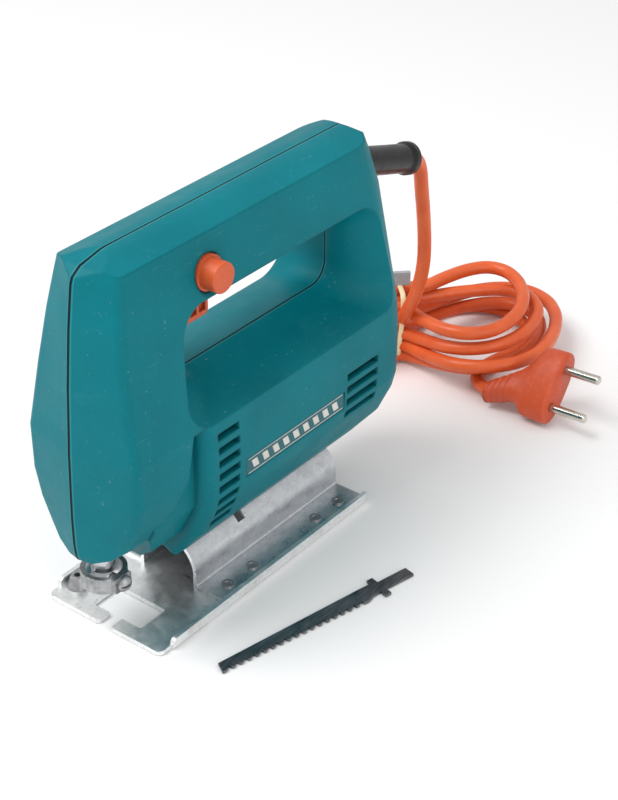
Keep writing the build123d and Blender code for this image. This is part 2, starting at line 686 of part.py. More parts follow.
with BuildPart() as cooling_fan:
    rod_x(-44, -42.4, 23.0, 0, MOTOR_Z)
    rod_x(-56, -42.4, 7.5, 0, MOTOR_Z)
    with BuildSketch(Plane.YZ.offset(-54)):
        with Locations((0, MOTOR_Z)):
            with PolarLocations(15.0, 11):
                Rectangle(15.6, 1.2, rotation=18)
    extrude(amount=10.4)
    rod_x(-60, -40, 4.0, 0, MOTOR_Z, mode=Mode.SUBTRACT)
cooling_fan.part.label = "cooling_fan"
export_step(cooling_fan.part, "parts/cooling_fan.step")

with BuildPart() as pinion:
    with BuildSketch(Plane.YZ.offset(-29)):
        with Locations((0, MOTOR_Z)):
            Circle(PINION_R)
            Circle(2.5, mode=Mode.SUBTRACT)
            with PolarLocations(PINION_R, 8):
                Rectangle(1.6, 1.2, mode=Mode.SUBTRACT)
    extrude(amount=9.2)
pinion.part.label = "pinion"
export_step(pinion.part, "parts/pinion.step")

with BuildPart() as brush_holders:
    for side in (-1, 1):
        block(-125.6, -116.4, side * 12.0, side * 25.6, 55.6, 64.4)
        block(-124.0, -118.0, side * 10.0, side * 24.0, 57.2, 62.8, mode=Mode.SUBTRACT)
brush_holders.part.label = "brush_holders"
export_step(brush_holders.part, "parts/brush_holders.step")

with BuildPart() as carbon_brushes:
    for side in (-1, 1):
        block(-124.0, -118.0, side * 10.9, side * 17.5, 57.2, 62.8)
carbon_brushes.part.label = "carbon_brushes"
export_step(carbon_brushes.part, "parts/carbon_brushes.step")

with BuildPart() as brush_springs:
    for side in (-1, 1):
        for k in range(5):
            with Locations(Location((-121, side * (18.0 + 1.36 * k), 60), (90, 0, 0))):
                Torus(2.1, 0.4)
brush_springs.part.label = "brush_springs"
export_step(brush_springs.part, "parts/brush_springs.step")

# ---------------------------------------------------------------- switch, trigger, lock button
with BuildPart() as switch_body:
    block(-98, -60.5, -9.5, 9.5, 146.6, 159.5)
    block(-98, -72, -9.5, 9.5, 139.2, 147)
    rod_z(145.4, 147, 2.2, -63.5, 0)
    fillet(switch_body.edges().filter_by(Axis.Z).group_by(Axis.X)[0], 1.0)
switch_body.part.label = "switch_body"
export_step(switch_body.part, "parts/switch_body.step")

with BuildPart() as trigger:
    block(-56.0, -39.0, -6.7, 6.7, 120.6, 138.5)
    block(-58.5, -37.5, -7.4, 7.4, 138.5, 139.8)
    block(-67.0, -56.5, -4.0, 4.0, 138.5, 139.8)
    fillet(trigger.edges().filter_by(Axis.Y).group_by(Axis.Z)[0], 2.2)
    # moulding pockets that leave upright ribs on each flank
    for side in (-1, 1):
        for px in (-52.6, -47.4, -42.2):
            block(px - 1.9, px + 1.9, side * 4.9, side * 7.2, 122.6, 136.6, mode=Mode.SUBTRACT)
trigger.part.label = "trigger"
export_step(trigger.part, "parts/trigger.step")

with BuildPart() as trigger_spring:
    for k in range(7):
        with Locations((-52.2, 0, 140.4 + 1.84 * k)):
            Torus(2.8, 0.45)
trigger_spring.part.label = "trigger_spring"
export_step(trigger_spring.part, "parts/trigger_spring.step")

with BuildPart() as lock_button:
    rod_y(10.8, 12.9, 8.5, BUTTON_X, BUTTON_Z)
    rod_y(12.9, 18.9, 7.4, BUTTON_X, BUTTON_Z)
    rod_y(18.9, 26.0, BUTTON_R, BUTTON_X, BUTTON_Z)
    fillet(lock_button.faces().sort_by(Axis.Y)[-1].edges(), 0.7)
lock_button.part.label = "lock_button"
export_step(lock_button.part, "parts/lock_button.step")

with BuildPart() as lock_spring:
    for k in range(9):
        with Locations(Location((BUTTON_X, 10.4 - 2.2 * k, BUTTON_Z), (90, 0, 0))):
            Torus(1.9, 0.35)
lock_spring.part.label = "lock_spring"
export_step(lock_spring.part, "parts/lock_spring.step")

# ---------------------------------------------------------------- wiring
with BuildPart() as strain_relief:
    with BuildSketch(Plane(origin=BOOT_IN, z_dir=BOOT_DIR)):
        Circle(6.5)
    extrude(amount=39.4)
    with BuildSketch(Plane(origin=BOOT_IN + BOOT_DIR * 39.2, z_dir=BOOT_DIR)):
        Circle(6.5)
    with BuildSketch(Plane(origin=BOOT_IN + BOOT_DIR * 41.4, z_dir=BOOT_DIR)):
        Circle(7.5)
    loft()
    with BuildSketch(Plane(origin=BOOT_IN + BOOT_DIR * 41.4, z_dir=BOOT_DIR)):
        Circle(7.5)
    extrude(amount=2.8)
strain_relief.part.label = "strain_relief"
export_step(strain_relief.part, "parts/strain_relief.step")

with BuildPart() as cord_tail:
    with BuildSketch(Plane(origin=BOOT_IN, z_dir=-BOOT_DIR)):
        Circle(CORD_D / 2)
    extrude(amount=19.6)
cord_tail.part.label = "cord_tail"
export_step(cord_tail.part, "parts/cord_tail.step")

with BuildPart() as cord_clamp:
    block(-148.6, -143.4, -9.2, 9.2, 148.4, 155.2)
    with BuildSketch(Plane(origin=BOOT_IN, z_dir=-BOOT_DIR)):
        Circle(CORD_D / 2)
    extrude(amount=24, mode=Mode.SUBTRACT)
    for lug_y in (-7, 7):
        rod_z(140, 160, 1.4, -146, lug_y, mode=Mode.SUBTRACT)
cord_clamp.part.label = "cord_clamp"
export_step(cord_clamp.part, "parts/cord_clamp.step")

with BuildPart() as cord_clamp_screws:
    for lug_y in (-7, 7):
        rod_z(143, 155.2, 1.4, -146, lug_y)
        rod_z(155.2, 156.8, 2.4, -146, lug_y)
cord_clamp_screws.part.label = "cord_clamp_screws"
export_step(cord_clamp_screws.part, "parts/cord_clamp_screws.step")

with BuildPart() as supply_leads:
    with BuildLine() as supply_path:
        FilletPolyline(
            (-138.2, 1.6, 151.6), (-132, 1.6, 151.6), (-124, 1.6, 144.8), (-98, 1.6, 144.8), radius=4.0,
        )
    with BuildSketch(Plane(origin=(-138.2, 1.6, 151.6), z_dir=(1, 0, 0))):
        Circle(1.1)
    sweep(path=supply_path.line)
    mirror(about=Plane.XZ)
supply_leads.part.label = "supply_leads"
export_step(supply_leads.part, "parts/supply_leads.step")

with BuildPart() as motor_leads:
    with BuildLine() as lead_path:
        FilletPolyline(
            (-98, 3, 140.6), (-149.8, 3, 140.6), (-149.8, 8, 84), (-136, 8, 84), (-135.2, 12, 76),
            (-121, 18, 75), (-121, 18, 64.5), radius=2.5,
        )
    with BuildSketch(Plane(origin=(-98, 3, 140.6), z_dir=(-1, 0, 0))):
        Circle(1.1)
    sweep(path=lead_path.line)
    mirror(about=Plane.XZ)
motor_leads.part.label = "motor_leads"
export_step(motor_leads.part, "parts/motor_leads.step")

with BuildPart() as capacitor:
    block(-160.2, -153.2, -6.5, 6.5, 100, 121)
    fillet(capacitor.edges().filter_by(Axis.Z), 1.2)
capacitor.part.label = "capacitor"
export_step(capacitor.part, "parts/capacitor.step")

with BuildPart() as badge_plate:
    block(-115.4, -51.0, 28.1, 29.0, 54.9, 63.1)
    fillet(badge_plate.edges().filter_by(Axis.Y), 0.6)
badge_plate.part.label = "badge_plate"
export_step(badge_plate.part, "parts/badge_plate.step")

# ---------------------------------------------------------------- cord, hank, plug
CORD_ROUTE = [(-195.5, 0, 133.4), (-215, -4, 117), (-229, -12, 80), (-232, -15, 47), (-243, -20, 27)]
TAIL_ROUTE = [(-230.5, 31, 7.0), (-238, 19, 6.0), (-251, 12, 7.0)]


def bend_radii(route):
    """Radius of each corner: 0.45 of the shorter run over the tangent of half the turn."""
    radii = []
    for a, b, c in zip(route, route[1:], route[2:]):
        one = Vector(*b) - Vector(*a)
        two = Vector(*c) - Vector(*b)
        turn = math.radians(one.get_angle(two))
        radii.append(0.45 * min(one.length, two.length) / math.tan(turn / 2))
    return radii


def run_length(wire):
    return sum(edge.length for edge in wire.edges())


print("cord arcs", [round(r, 1) for r in bend_radii(CORD_ROUTE)])
print("plug lead arcs", [round(r, 1) for r in bend_radii(TAIL_ROUTE)])

with BuildPart() as mains_cord:
    with BuildLine() as cord_path:
        FilletPolyline(*CORD_ROUTE, radius=bend_radii(CORD_ROUTE))
    with BuildSketch(Plane(origin=CORD_ROUTE[0], z_dir=Vector(*CORD_ROUTE[1]) - Vector(*CORD_ROUTE[0]))):
        Circle(CORD_D / 2)
    sweep(path=cord_path.line)
mains_cord.part.label = "mains_cord"
export_step(mains_cord.part, "parts/mains_cord.step")
print("cord volume", mains_cord.part.volume, math.pi * CORD_D**2 / 4 * run_length(cord_path.line))

with BuildPart() as plug_lead:
    with BuildLine() as tail_path:
        FilletPolyline(*TAIL_ROUTE, radius=bend_radii(TAIL_ROUTE))
    with BuildSketch(Plane(origin=TAIL_ROUTE[0], z_dir=Vector(*TAIL_ROUTE[1]) - Vector(*TAIL_ROUTE[0]))):
        Circle(CORD_D / 2)
    sweep(path=tail_path.line)
plug_lead.part.label = "plug_lead"
export_step(plug_lead.part, "parts/plug_lead.step")
print("lead volume", plug_lead.part.volume, math.pi * CORD_D**2 / 4 * run_length(tail_path.line))

HANK_AT = Vector(-245, -33, 0)
HANK_DIR = Vector(-0.7, 0.714, 0).normalized()
HANK_SIDE = Vector(0.714, 0.7, 0).normalized()
hank_plane = Plane(origin=HANK_AT, x_dir=-HANK_SIDE, z_dir=HANK_DIR)
WAIST_W = 24.0
PLUG_FACE = (-239, 63.5, 17.2)
HANK_Z0 = 1.2
HANK_H = 36.0

with BuildPart() as plug_body:
    with BuildSketch(Plane(origin=PLUG_FACE, x_dir=(-0.605, 0, 0.796), z_dir=(-0.06, -0.99, -0.09))):
        SlotOverall(36, 16)
    extrude(amount=13)
    with BuildSketch(Plane(origin=(-239.8, 50.6, 16.0), x_dir=(-0.605, 0, 0.796), z_dir=(0.1, -0.98, -0.2))):
        SlotOverall(33, 15)
    with BuildSketch(Plane(origin=(-236.4, 43.5, 11.6), x_dir=(-0.7, 0, 0.7), z_dir=(0.2, -0.95, -0.24))):
        SlotOverall(18, 12.4)
    with BuildSketch(Plane(origin=(-230.6, 30.2, 7.2), x_dir=(-1, 0, 0), z_dir=(0.25, -0.95, -0.2))):
        SlotOverall(13.6, 11.4)
    loft()
plug_body.part.label = "plug_body"
export_step(plug_body.part, "parts/plug_body.step")

with BuildPart() as plug_pins:
    with BuildSketch(Plane(origin=PLUG_FACE, x_dir=(-0.605, 0, 0.796), z_dir=(0.06, 0.99, 0.09))):
        with Locations((-9.5, 0), (9.5, 0)):
            Circle(2.2)
    extrude(amount=19)
    fillet(plug_pins.faces().sort_by(Axis.Y)[-2:].edges(), 1.0)
plug_pins.part.label = "plug_pins"
export_step(plug_pins.part, "parts/plug_pins.step")

with BuildPart() as cord_hank:
    with BuildSketch(Plane.XY.offset(HANK_Z0)) as lobe_sk:
        with BuildLine():
            Polyline(
                (-238.6, -23.2), (-240.0, 4), (-245.5, 22), (-258, 30), (-276, 31.5), (-298, 26), (-314, 14),
                (-322, -8), (-317, -24), (-300, -37), (-276, -44), (-255.4, -40.4), close=True,
            )
        make_face()
        fillet(lobe_sk.vertices().filter_by_position(Axis.X, -330, -239.5).filter_by_position(Axis.Y, -39, 40), 7)
    extrude(amount=HANK_H)
    with BuildSketch(Plane.XY.offset(HANK_Z0)) as stub_sk:
        with BuildLine():
            Polyline(
                (-234.8, -26.2), (-212, -40), (-203, -56), (-205, -72), (-218, -79), (-236, -72),
                (-251.8, -43.2), close=True,
            )
        make_face()
        fillet(stub_sk.vertices().filter_by_position(Axis.Y, -80, -39), 5)
    extrude(amount=HANK_H)
    with BuildSketch(hank_plane):
        with Locations((0, HANK_Z0 + HANK_H / 2)):
            RectangleRounded(WAIST_W, HANK_H, 4)
    extrude(amount=6, both=True)
cord_hank.part.label = "cord_hank"
export_step(cord_hank.part, "parts/cord_hank.step")

with BuildPart() as rubber_band:
    with BuildSketch(hank_plane):
        with Locations((0, HANK_Z0 + HANK_H / 2)):
            RectangleRounded(WAIST_W + 2.4, HANK_H + 2.4, 5.2)
            RectangleRounded(WAIST_W, HANK_H, 4, mode=Mode.SUBTRACT)
    extrude(amount=2.0, both=True)
rubber_band.part.label = "rubber_band"
export_step(rubber_band.part, "parts/rubber_band.step")

with BuildPart() as band_tab:
    with BuildSketch(Plane(origin=HANK_AT + Vector(0, 0, HANK_Z0 + HANK_H + 1.2), x_dir=HANK_DIR, z_dir=(0, 0, 1))):
        RectangleRounded(9.0, 2.4, 0.8)
    extrude(amount=7.0)
band_tab.part.label = "band_tab"
export_step(band_tab.part, "parts/band_tab.step")

# ---------------------------------------------------------------- saw blade on the floor
with BuildPart() as saw_blade:
    with BuildSketch(Plane(origin=(-98.5, 77.2, 0), x_dir=(0.974, -0.226, 0), z_dir=(0, 0, 1))):
        with BuildLine():
            Polyline(
                (0, -2.6), (15.5, -2.6), (15.5, -6.2), (18.5, -6.2), (18.5, -3.6), (24, -3.8), (98, -3.0),
                (99.6, 2.2), (26, 4.4), (22.5, 3.0), (18.5, 2.8), (18.5, 6.2), (15.5, 6.2), (15.5, 2.6),
                (0, 2.6), close=True,
            )
        make_face()
        for k in range(18):
            with BuildLine():
                tx = 28.5 + 3.9 * k
                ty = 4.35 - 0.03 * (tx - 26)
                Polyline((tx, ty + 0.5), (tx + 3.4, ty + 0.4), (tx + 0.5, ty - 1.7), close=True)
            make_face(mode=Mode.SUBTRACT)
    extrude(amount=1.2)
saw_blade.part.label = "saw_blade"
export_step(saw_blade.part, "parts/saw_blade.step")
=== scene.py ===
import math

import bpy
import bmesh
from mathutils import Matrix, Vector


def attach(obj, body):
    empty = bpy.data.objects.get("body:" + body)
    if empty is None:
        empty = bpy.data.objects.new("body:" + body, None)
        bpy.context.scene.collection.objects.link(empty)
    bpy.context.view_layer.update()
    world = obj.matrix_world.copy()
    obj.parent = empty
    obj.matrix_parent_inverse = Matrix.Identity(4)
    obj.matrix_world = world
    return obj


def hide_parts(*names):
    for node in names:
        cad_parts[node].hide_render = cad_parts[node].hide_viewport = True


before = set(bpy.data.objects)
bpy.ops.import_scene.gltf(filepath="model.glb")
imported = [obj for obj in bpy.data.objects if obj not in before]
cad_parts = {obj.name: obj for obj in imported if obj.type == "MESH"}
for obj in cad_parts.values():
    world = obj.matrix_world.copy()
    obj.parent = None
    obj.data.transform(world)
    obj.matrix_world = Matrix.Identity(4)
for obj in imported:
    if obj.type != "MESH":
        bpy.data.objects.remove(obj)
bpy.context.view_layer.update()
MM = 0.001


def vec(x, y, z):
    """A point in millimetres as a vector in metres."""
    return Vector((x * MM, y * MM, z * MM))


# ------------------------------------------------------------------ camera, placed in millimetres
CAM_AT = (402.7, 415.2, 466.8)
CAM_RIGHT = (-0.6158, 0.7879, 0.0)
CAM_BACK = (0.6663, 0.5208, 0.5337)
SENSOR = 36.0
LENS = 81.0

cam_data = bpy.data.cameras.new("camera")
cam_data.sensor_width = SENSOR
cam_data.sensor_height = SENSOR
cam_data.sensor_fit = "VERTICAL"
cam_data.lens = LENS
cam_data.clip_start = 0.01
cam_data.clip_end = 50.0
cam = bpy.data.objects.new("camera", cam_data)
bpy.context.scene.collection.objects.link(cam)
right = Vector(CAM_RIGHT).normalized()
back = Vector(CAM_BACK).normalized()
up = back.cross(right).normalized()
right = up.cross(back).normalized()
turn = Matrix((right, up, back)).transposed().to_4x4()
cam.matrix_world = Matrix.Translation(vec(*CAM_AT)) @ turn
bpy.context.scene.camera = cam

# ------------------------------------------------------------------ supply cord, in millimetres
CORD_D = 6.6
BAND_AT = Vector((-245.0, -33.0))
ALONG = Vector((-0.7, 0.714)).normalized()
ACROSS = Vector((0.714, 0.7)).normalized()
TURNS = 5
CLIMB_POINTS = 5
REACH = 0.95
REACH_SWING = 0.04


def hank_point(h, s, z):
    """A point of the hank: h along the bundle from the band, s across it, z above the floor."""
    p = BAND_AT + ALONG * h + ACROSS * s
    return (p.x, p.y, z)


def spline(name, points, diameter):
    """A round tube along one NURBS spline. The points carry the tube's radius, so its bounds stay tight."""
    data = bpy.data.curves.new(name, "CURVE")
    data.dimensions = "3D"
    data.resolution_u = 10
    sp = data.splines.new("NURBS")
    sp.points.add(len(points) - 1)
    for cp, p in zip(sp.points, points):
        cp.co = (p[0] * MM, p[1] * MM, p[2] * MM, 1.0)
        cp.radius = diameter * MM / 2
    sp.order_u = 3
    sp.use_endpoint_u = True
    data.bevel_depth = 1.0
    data.bevel_resolution = 6
    data.use_fill_caps = True
    obj = bpy.data.objects.new(name, data)
    bpy.context.scene.collection.objects.link(obj)
    return obj


# where each turn passes the band: its height on the far side, and (across, height) on the near side
FAR_Z = [32.4, 25.6, 18.8, 12.0, 5.0]
FAR_S = -7.4
NEAR = [(8.7, 22.8), (4.0, 28.4), (8.7, 16.2), (8.6, 9.8), (8.4, 3.6)]

# the loops in front of the band, as (along, across, height), each from its far side to its near side
LOOPS = [
    [
        (13, -4.5, 33.6), (24, -13, 33.6), (38, -21.6, 33.2), (50, -23.8, 33), (59, -17.0, 32.6),
        (62, -2, 32.2), (59, 15.4, 31.6), (50, 29, 31), (39, 37.2, 30.4), (27.5, 38, 30),
        (17, 32.5, 29.6), (9.5, 22.5, 29.2), (4, 12.5, 28.8),
    ],
    [
        (14, -6.0, 27), (27, -9.6, 26.6), (41, -12, 26), (55, -12.6, 25.5), (66, -6, 25),
        (69, 7, 24.6), (63.5, 21, 24.2), (53.5, 32.5, 23.6), (41, 38.8, 22.8), (28, 38.2, 21.6),
        (17, 31.5, 19.8), (8.5, 20.5, 17.8),
    ],
    [
        (14, -12, 17.6), (27, -22, 16.8), (44, -30.5, 16), (60, -33, 15.4), (73, -27.5, 15.2),
        (80, -15.5, 15.2), (80.5, -1, 15.4), (77, 12, 15.8), (71, 26, 16.4), (62, 38.5, 17),
        (50, 46.5, 17.2), (35, 48, 16.8), (20, 41, 15), (9.5, 26, 12),
    ],
    [
        (13, -9.5, 11.2), (25, -18.5, 10.4), (41, -26, 9.8), (56, -28, 9.6), (67.5, -22, 9.8),
        (73.5, -9.5, 10.2), (71.5, 6, 10.6), (64.5, 20, 10.8), (54.5, 31, 10.6), (42.5, 38, 10.4),
        (29, 38, 10.4), (17.5, 31, 9.2), (9, 19.5, 6.2),
    ],
]

# where the bundle turns back behind the band, as (along, across), from its near side to its far side
FAR_TURN = [
    (-7, 10.4), (-17, 15.6), (-29, 19.6), (-41, 18.4), (-50, 9.5), (-52.5, -1), (-49, -12), (-40, -19),
    (-28, -19.6), (-17, -14.6), (-7, -8.8),
]

# from the strain relief down to the band
DROP = [
    (-199, 0, 132.6), (-203.5, -0.5, 131.1), (-210, -1.8, 127.2), (-214.6, -3.2, 120), (-217.6, -4.4, 110),
    (-221.6, -5.8, 98), (-225.2, -7.2, 86), (-228.4, -8.8, 75), (-231, -10.6, 65), (-232.4, -12.6, 55.5),
    (-232.6, -14.8, 47), (-232.4, -17.4, 39.5), (-233.2, -21, 32.5), (-235.8, -24.8, 27),
]

# the last turn lies on the floor and comes out to the plug
LAST = [
    (-256, -36.5, 4.0), (-268, -39.5, 3.6), (-283, -39, 3.5), (-298, -31.5, 3.5), (-307, -18, 3.5),
    (-307.5, -3, 3.5), (-300, 9, 3.5), (-288, 16, 3.5), (-274, 16.5, 3.5), (-262, 13.5, 3.5),
    (-251.5, 12.2, 3.5), (-243.5, 14.5, 3.6), (-237.6, 20, 4.4), (-233.6, 26.5, 5.8), (-231.2, 31.5, 6.8),
    (-230.3, 36, 7.6),
]


def back_turn(k):
    """Turn k behind the band: it goes from its near height to its far height over the first few points."""
    near_s, near_z = NEAR[k]
    rise = FAR_Z[k] - near_z
    reach = REACH + REACH_SWING * math.sin(1.7 * k + 0.6)
    points = [hank_point(0.0, near_s, near_z)]
    for i, (h, s) in enumerate(FAR_TURN):
        t = min(1.0, (i + 1) / CLIMB_POINTS)
        points.append(hank_point(h * reach, s, near_z + rise * t * t * (3 - 2 * t)))
    points.append(hank_point(0.0, FAR_S, FAR_Z[k]))
    return points


cord_points = list(DROP)
for k in range(TURNS):
    cord_points += back_turn(k)
    if k < len(LOOPS):
        cord_points += [hank_point(*p) for p in LOOPS[k]]
cord_points += LAST


cord = spline("supply_cord", cord_points, CORD_D)
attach(cord, "housing")
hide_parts("mains_cord", "cord_hank", "plug_lead")

# ------------------------------------------------------------------ shader helpers
# Texture scales are per metre, distances are in metres, and colours go through lin().


class Shade:
    """A small wrapper round one material's node tree."""

    def __init__(self, name):
        self.mat = bpy.data.materials.new(name)
        self.mat.use_nodes = True
        self.nt = self.mat.node_tree
        self.nt.nodes.clear()
        self.out = self.nt.nodes.new("ShaderNodeOutputMaterial")
        self.bsdf = self.nt.nodes.new("ShaderNodeBsdfPrincipled")
        self.link(self.bsdf.outputs[0], self.out.inputs[0])
        self.coords = self.nt.nodes.new("ShaderNodeTexCoord").outputs["Object"]

    def link(self, a, b):
        self.nt.links.new(a, b)

    def node(self, kind, **sets):
        n = self.nt.nodes.new(kind)
        for key, value in sets.items():
            setattr(n, key, value)
        return n

    def put(self, socket, value):
        if isinstance(value, (int, float, tuple, list)):
            socket.default_value = value
        else:
            self.link(value, socket)

    def scaled(self, x, y, z):
        m = self.node("ShaderNodeMapping")
        self.link(self.coords, m.inputs["Vector"])
        m.inputs["Scale"].default_value = (x, y, z)
        return m.outputs[0]

    def noise(self, scale, detail=3.0, rough=0.55, vector=None, distort=0.0):
        n = self.node("ShaderNodeTexNoise")
        self.link(vector if vector is not None else self.coords, n.inputs["Vector"])
        n.inputs["Scale"].default_value = scale
        n.inputs["Detail"].default_value = detail
        n.inputs["Roughness"].default_value = rough
        n.inputs["Distortion"].default_value = distort
        return n.outputs["Fac"]

    def flakes(self, scale):
        """A random grey for each cell of a Voronoi pattern."""
        n = self.node("ShaderNodeTexVoronoi", feature="F1")
        self.link(self.coords, n.inputs["Vector"])
        n.inputs["Scale"].default_value = scale
        split = self.node("ShaderNodeSeparateColor")
        self.link(n.outputs["Color"], split.inputs[0])
        return split.outputs[0]

    def wave(self, scale, direction="X", distort=0.0):
        n = self.node("ShaderNodeTexWave", wave_type="BANDS", bands_direction=direction)
        self.link(self.coords, n.inputs["Vector"])
        n.inputs["Scale"].default_value = scale
        n.inputs["Distortion"].default_value = distort
        return n.outputs["Fac"]

    def ramp(self, fac, lo, hi, low=0.0, high=1.0):
        """Maps lo..hi onto low..high, held at both ends."""
        n = self.node("ShaderNodeMapRange")
        self.link(fac, n.inputs["Value"])
        n.inputs["From Min"].default_value = lo
        n.inputs["From Max"].default_value = hi
        n.inputs["To Min"].default_value = low
        n.inputs["To Max"].default_value = high
        return n.outputs["Result"]

    def mix(self, fac, a, b):
        n = self.node("ShaderNodeMix", data_type="RGBA")
        self.put(n.inputs["Factor"], fac)
        for socket, value in ((n.inputs[6], a), (n.inputs[7], b)):
            if isinstance(value, tuple):
                socket.default_value = (*value[:3], 1.0)
            else:
                self.link(value, socket)
        return n.outputs[2]

    def math(self, op, a, b=0.0):
        n = self.node("ShaderNodeMath", operation=op)
        self.put(n.inputs[0], a)
        self.put(n.inputs[1], b)
        return n.outputs[0]

    def split(self):
        n = self.node("ShaderNodeSeparateXYZ")
        self.link(self.coords, n.inputs[0])
        return n.outputs

    def bump(self, height, strength, distance, normal=None):
        n = self.node("ShaderNodeBump")
        self.link(height, n.inputs["Height"])
        n.inputs["Strength"].default_value = strength
        n.inputs["Distance"].default_value = distance
        if normal is not None:
            self.link(normal, n.inputs["Normal"])
        return n.outputs[0]

    def soft_edges(self, radius):
        """A normal that rounds the edges off."""
        n = self.node("ShaderNodeBevel", samples=4)
        n.inputs["Radius"].default_value = radius
        return n.outputs[0]

    def occlusion_shade(self, distance):
        """Painted shade: dark in the creases, from the ambient occlusion within the distance."""
        n = self.node("ShaderNodeAmbientOcclusion", samples=4, inside=False)
        n.inputs["Distance"].default_value = distance
        return n.outputs["AO"]

    def finish(self, colour, rough, metal=0.0, normal=None, spec=0.5, coat=0.0):
        """Feeds the surface and returns the material."""
        b = self.bsdf.inputs
        if isinstance(colour, tuple):
            b["Base Color"].default_value = (*colour[:3], 1.0)
        else:
            self.link(colour, b["Base Color"])
        self.put(b["Roughness"], rough)
        self.put(b["Metallic"], metal)
        b["Specular IOR Level"].default_value = spec
        b["Coat Weight"].default_value = coat
        if normal is not None:
            self.link(normal, b["Normal"])
        return self.mat


def lin(r, g, b):
    """sRGB 0-255 to linear."""
    out = []
    for v in (r, g, b):
        v /= 255.0
        out.append(v / 12.92 if v <= 0.04045 else ((v + 0.055) / 1.055) ** 2.4)
    return tuple(out)


def plastic(name, colour, dark, light, rough=0.42, dust=0.12):
    """Moulded plastic: clouded tone, painted shade in the corners, dust specks and light scratches."""
    s = Shade(name)
    cloud = s.noise(38.0, 4.0)
    tone = s.mix(s.ramp(cloud, 0.3, 0.72), dark, colour)
    fine = s.noise(420.0, 3.0)
    tone = s.mix(s.ramp(fine, 0.52, 0.78, 0.0, 0.35), tone, light)
    # painted shade: the creases darkened from the occlusion, broken up by noise
    crease = s.ramp(s.occlusion_shade(0.004), 0.25, 0.95, 1.0, 0.0)
    crease_shade = s.math("MULTIPLY", crease, s.ramp(s.noise(130.0, 4.0), 0.3, 0.7, 0.25, 1.0))
    tone = s.mix(s.math("MULTIPLY", crease_shade, 0.45), tone, tuple(0.35 * c + 0.01 for c in dark))
    specks = s.ramp(s.noise(900.0, 2.0), 0.66, 0.74)
    tone = s.mix(s.math("MULTIPLY", specks, dust), tone, lin(205, 205, 198))
    scratch = s.ramp(s.noise(60.0, 2.0, vector=s.scaled(1.0, 9.0, 26.0), distort=0.4), 0.70, 0.735)
    tone = s.mix(s.math("MULTIPLY", scratch, 0.16), tone, light)
    sheen = s.ramp(s.noise(75.0, 5.0), 0.3, 0.7, rough - 0.07, rough + 0.09)
    r = s.math("ADD", sheen, s.math("MULTIPLY", scratch, 0.1))
    n = s.bump(s.noise(2600.0, 2.0), 0.35, 0.00003, s.soft_edges(0.0007))
    n = s.bump(scratch, 0.12, 0.00003, n)
    return s.finish(tone, r, 0.0, n)


def shell_plastic(name):
    """The shells' plastic: as moulded plastic with painted shade in the creases, with the seam on the centre
    plane drawn as a dark groove edged by painted highlights.
    """
    s = Shade(name)
    deep, mid, pale = lin(0, 104, 114), lin(0, 114, 124), lin(4, 128, 138)
    tone = s.mix(s.ramp(s.noise(24.0, 4.0), 0.3, 0.72), deep, mid)
    tone = s.mix(s.ramp(s.noise(300.0, 4.0), 0.55, 0.8, 0.0, 0.22), tone, pale)
    # faint pale rubs from handling
    rub = s.ramp(s.noise(34.0, 6.0, 0.7, vector=s.scaled(1.0, 1.0, 2.2)), 0.6, 0.76)
    tone = s.mix(s.math("MULTIPLY", rub, 0.08), tone, lin(90, 170, 172))
    # painted shade: the creases darkened from the occlusion
    crease = s.ramp(s.occlusion_shade(0.004), 0.2, 0.9, 1.0, 0.0)
    tone = s.mix(s.math("MULTIPLY", crease, 0.5), tone, lin(0, 52, 58))
    specks = s.ramp(s.noise(620.0, 2.0), 0.70, 0.74)
    tone = s.mix(s.math("MULTIPLY", specks, 0.12), tone, lin(196, 206, 200))
    nick = s.ramp(s.noise(48.0, 2.0, vector=s.scaled(1.0, 12.0, 30.0), distort=0.5), 0.735, 0.755)
    tone = s.mix(s.math("MULTIPLY", nick, 0.12), tone, lin(150, 196, 194))
    # the seam is wider on the nose and wanders a little; a painted highlight runs along both its sides
    axis = s.split()
    half = s.ramp(axis[0], -0.02, 0.004, 0.00034, 0.00062)
    wander = s.ramp(s.noise(30.0, 1.0), 0.0, 1.0, -0.00005, 0.00005)
    off = s.math("ABSOLUTE", s.math("ADD", axis[1], wander))
    seam = s.math("LESS_THAN", off, half)
    near = s.math("LESS_THAN", off, s.math("ADD", half, 0.0006))
    seam_highlight = s.math("MULTIPLY", near, s.math("SUBTRACT", 1.0, seam))
    # painted highlight along both edges of the seam
    tone = s.mix(s.math("MULTIPLY", seam_highlight, 0.3), tone, lin(70, 160, 164))
    tone = s.mix(s.math("MULTIPLY", seam, 0.93), tone, lin(2, 26, 30))
    r = s.ramp(s.noise(60.0, 5.0), 0.3, 0.7, 0.36, 0.5)
    n = s.bump(s.noise(2400.0, 2.0), 0.3, 0.00003, s.soft_edges(0.0018))
    n = s.bump(seam, 0.9, -0.0005, n)
    return s.finish(tone, r, 0.0, n, spec=0.12)


def rubber(name, colour, light, rough=0.6, dust=0.3, grain=1800.0):
    """Rubber or soft sheath, with a fine grain and powdery dust."""
    s = Shade(name)
    tone = s.mix(s.ramp(s.noise(90.0, 5.0), 0.3, 0.75), colour, light)
    powder = s.ramp(s.noise(260.0, 5.0, 0.7), 0.56, 0.78)
    tone = s.mix(s.math("MULTIPLY", powder, dust), tone, lin(172, 166, 155))
    r = s.ramp(s.noise(200.0, 3.0), 0.3, 0.7, rough - 0.08, rough + 0.12)
    n = s.bump(s.noise(grain, 3.0), 0.4, 0.00004, s.soft_edges(0.0005))
    return s.finish(tone, r, 0.0, n, spec=0.4)


